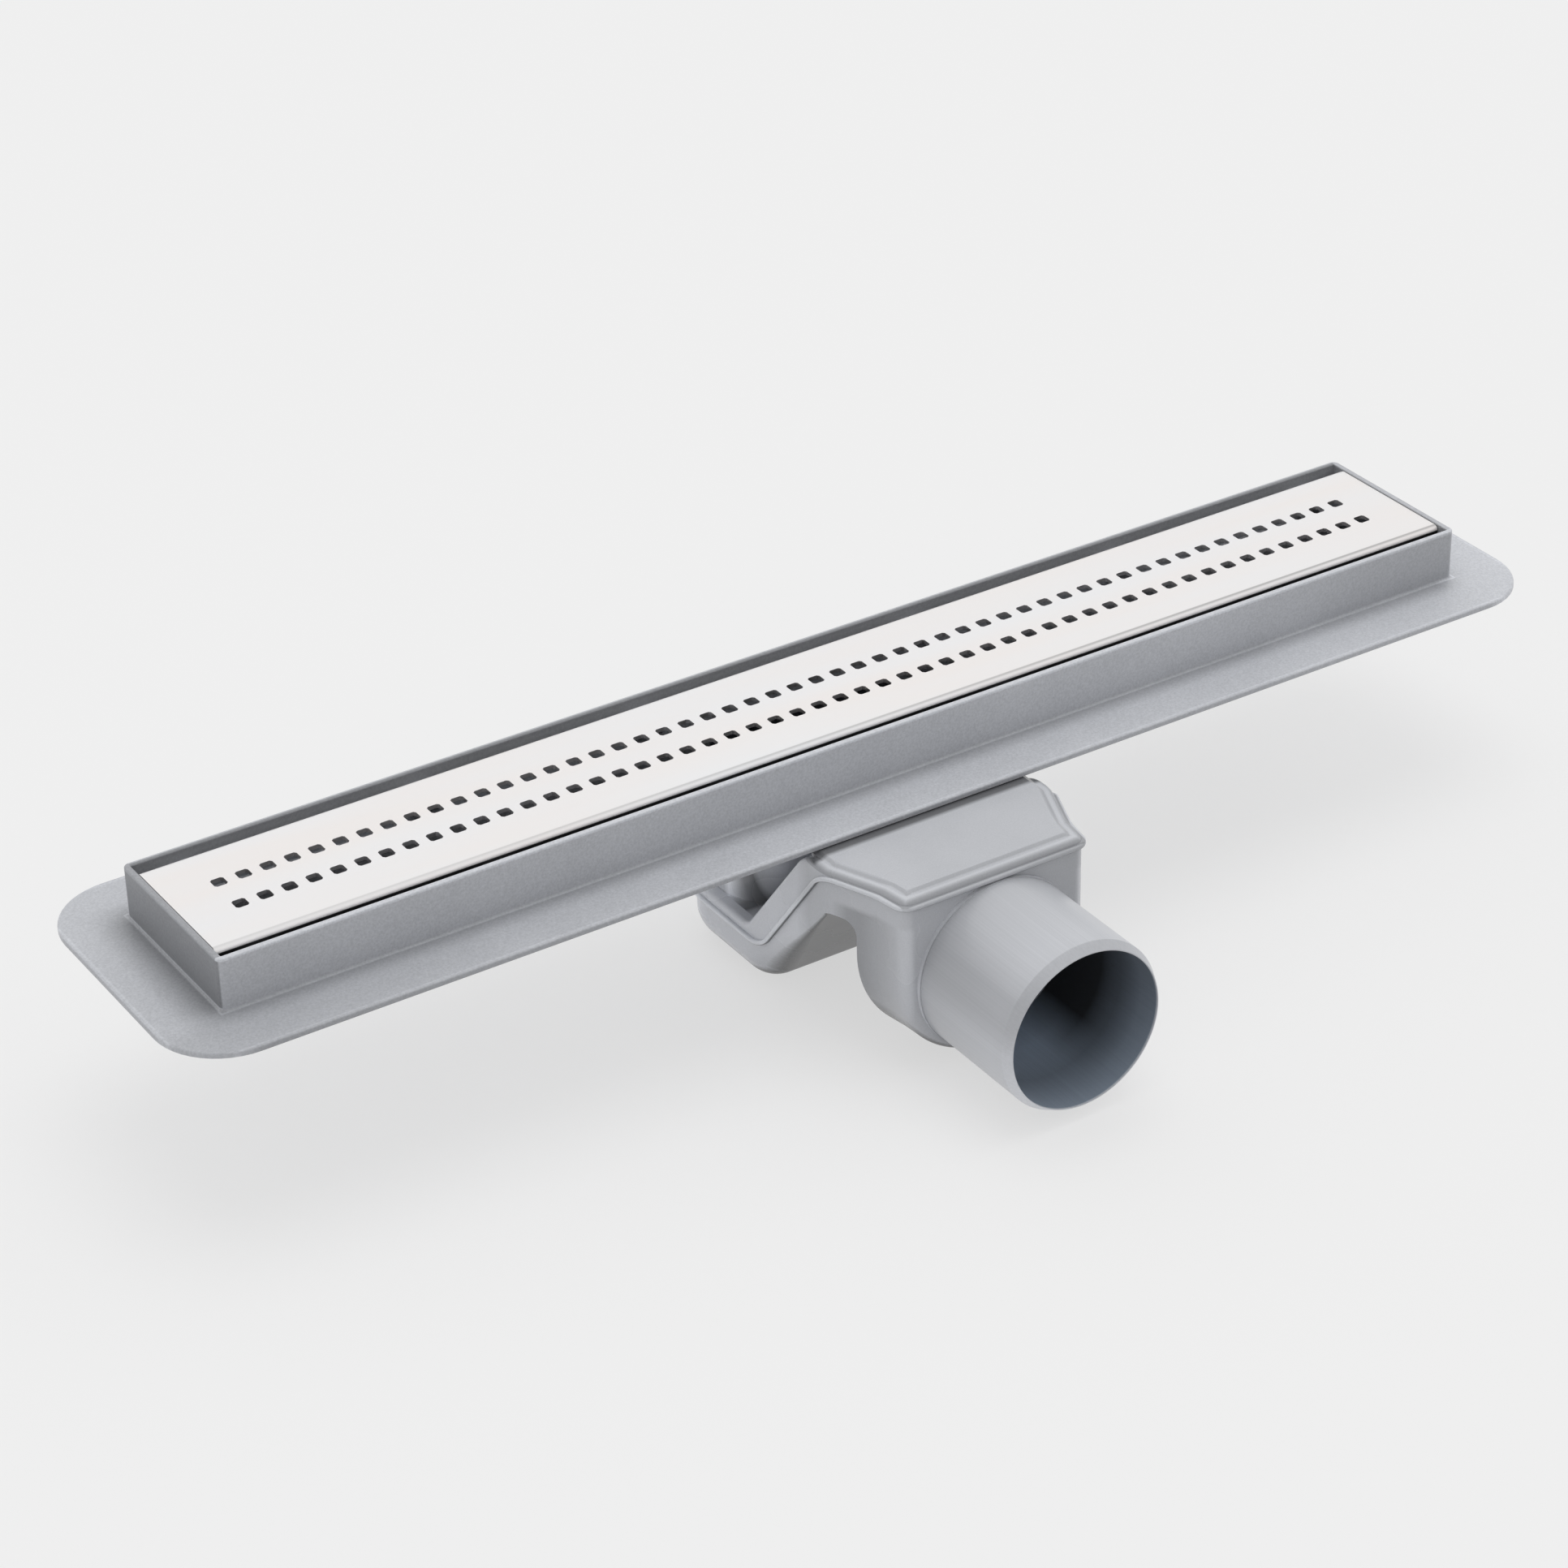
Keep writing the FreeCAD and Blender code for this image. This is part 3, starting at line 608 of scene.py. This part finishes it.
# Painted highlight: a thin ring, barely lighter, round each hole's punched edge
punched_edge = product(
    tree,
    within(tree, from_hole, hole_half, hole_half + punched_width, hole_fade),
    add(tree, "MapRange", from_end, row_half_length, row_half_length + hole_fade, 1.0, 0.0),
)
sheet_tone = add(tree, "MapRange", brush, 0.0, 1.0, *brush_tones)
# Painted reflection: a darker line along the front fold, darker towards the right
fold_reflection_line = within(tree, y, *fold_line_span, fold_line_fade)
fold_tone = add(tree, "MapRange", x, *fold_tone_span, *fold_tones)
# Painted shade: the skirt below the bend is nearly black, and the bend is slightly darkened
on_bend = product(
    tree,
    add(tree, "MapRange", from_middle, bend_start, bend_start + edge),
    add(tree, "MapRange", z, skirt_top - skirt_fade, skirt_top),
)
on_skirt = add(tree, "MapRange", z, skirt_top - skirt_fade, skirt_top, 1.0, 0.0)
tone = product(
    tree,
    sheet_tone,
    tones(
        tree,
        (punched_edge, punched_tone),
        (fold_reflection_line, fold_tone),
        (on_bend, bend_tone),
        (on_skirt, skirt_tone),
    ),
)
colour = add(tree, "VectorMath", colour, tone, operation="SCALE")
brushed_sheen = add(tree, "MapRange", brush, 0.0, 1.0, *cover_roughness)
sheen = add(tree, "Mix", on_bend, brushed_sheen, bend_roughness)
bump = add(tree, "Bump", brush_relief, brush_height, relief_filter, brush)
tree.links.new(colour, shader.inputs["Base Color"])
tree.links.new(sheen, shader.inputs["Roughness"])
tree.links.new(bump, shader.inputs["Normal"])
shader.inputs["Metallic"].default_value = 1.0
give("cover_grate", cover_steel)

# Studio floor: a plain pale sheet of matt paper under the drain
# Camera, mirror and glass rays see part of it as its own light, so the shadow stays faint
floor_papers = [(0.0, "#E6E6E6"), (1.0, "#8E8E8E")]
paper_glow = 0.60
floor_size = 12.0
floor_gap = 0.0005
floor_paper, tree, shader = material_named("pale_matt_paper")


def seen_directly(tree):
    """One for rays from the camera, a mirror or glass, which show the plain background."""
    rays = add(tree, "LightPath").node.outputs
    mirrored = add(tree, "Math", rays["Is Camera Ray"], rays["Is Glossy Ray"], operation="MAXIMUM")
    return add(tree, "Math", mirrored, rays["Is Transmission Ray"], operation="MAXIMUM")


seen = seen_directly(tree)
colour = add(tree, "ValToRGB", seen, stops=floor_papers)
glow = add(tree, "MapRange", seen, 0.0, 1.0, 0.0, paper_glow)
tree.links.new(colour, shader.inputs["Base Color"])
tree.links.new(glow, shader.inputs["Emission Strength"])
shader.inputs["Emission Color"].default_value = (1.0, 1.0, 1.0, 1.0)
shader.inputs["Roughness"].default_value = 1.0
shader.inputs["Specular IOR Level"].default_value = 0.0
bpy.ops.object.select_all(action="DESELECT")
floor_place = (0.0, 0.0, floor_level - floor_gap)
bpy.ops.mesh.primitive_plane_add(size=floor_size, location=floor_place)
floor = bpy.context.object
floor.name = "studio_floor"
floor.data.materials.append(floor_paper)

# Studio walls: white boards low on the left and behind, a large soft screen on the right
# Each stop is a board's brightness, going round from the left by the front
low_boards = [(0.00, 0.80), (0.25, 0.05), (0.50, 0.20), (0.75, 0.72), (1.00, 0.80)]
high_boards = [(0.00, 0.20), (0.25, 0.33), (0.50, 0.56), (0.75, 0.47), (1.00, 0.20)]
ceiling = (0.33, 0.33, 0.33, 1.0)
board_level = 2.0
high_boards_span = (0.2, 0.4)
ceiling_span = (0.7, 0.9)
backdrop = "#EEEEEE"
studio = bpy.data.worlds.new("studio")
bpy.context.scene.world = studio
studio.use_nodes = True
tree = studio.node_tree
background = tree.nodes["Background"]
direction = add(tree, "TexCoord").node.outputs["Generated"]
around = add(tree, "TexGradient", direction, gradient_type="RADIAL").node.outputs["Fac"]
height = add(tree, "SeparateXYZ", direction).node.outputs["Z"]
low = add(tree, "ValToRGB", around, stops=low_boards)
high = add(tree, "ValToRGB", around, stops=high_boards)
on_high_boards = add(tree, "MapRange", height, *high_boards_span)
on_ceiling = add(tree, "MapRange", height, *ceiling_span)
walls = add(tree, "Mix", on_high_boards, low, high, data_type="RGBA")
room = add(tree, "Mix", on_ceiling, walls, ceiling, data_type="RGBA")
tree.links.new(room, background.inputs["Color"])
background.inputs["Strength"].default_value = board_level
plain = add(tree, "Background", linear(backdrop), 1.0)
shown = add(tree, "MixShader", seen_directly(tree), background.outputs["Background"], plain)
tree.links.new(shown, tree.nodes["World Output"].inputs["Surface"])

# Top light: one broad lamp above the drain, which steel and gloss don't mirror
# It comes a little from the right and from behind, and its spread softens the shadow
lamp_energy = 0.75
lamp_spread = 45.0
lamp_direction = (-0.10, -0.05, -1.0)
lamp_data = bpy.data.lights.new("top_light", "SUN")
lamp_data.energy = lamp_energy
lamp_data.angle = math.radians(lamp_spread)
lamp = bpy.data.objects.new("top_light", lamp_data)
bpy.context.collection.objects.link(lamp)
lamp.rotation_mode = "QUATERNION"
lamp.rotation_quaternion = Vector(lamp_direction).to_track_quat("-Z", "Y")
lamp.visible_glossy = False

# Camera: at the photograph's viewing angle, down on the front and the left end
# Its place and turn come from a fit to the channel's long edges and the pipe's mouth
camera_azimuth = math.radians(-32.30)
camera_elevation = math.radians(30.93)
camera_roll = math.radians(-1.33)
camera_place = (-0.56484, -0.86968, 0.59115)
backward = Vector((
    math.sin(camera_azimuth) * math.cos(camera_elevation),
    -math.cos(camera_azimuth) * math.cos(camera_elevation),
    math.sin(camera_elevation),
))
level_right = (-backward).cross(Vector((0.0, 0.0, 1.0))).normalized()
level_up = level_right.cross(-backward)
right = level_right * math.cos(camera_roll) + level_up * math.sin(camera_roll)
up = level_up * math.cos(camera_roll) - level_right * math.sin(camera_roll)
camera_data = bpy.data.cameras.new("camera")
camera_data.lens = 100.04
camera_data.sensor_width = 36.0
camera_data.clip_start = 0.01
camera_data.clip_end = 50.0
camera = bpy.data.objects.new("camera", camera_data)
bpy.context.collection.objects.link(camera)
turn = Matrix((right, up, backward)).transposed().to_4x4()
camera.matrix_world = Matrix.Translation(camera_place) @ turn
bpy.context.scene.camera = camera
bpy.context.scene.view_settings.view_transform = "Standard"
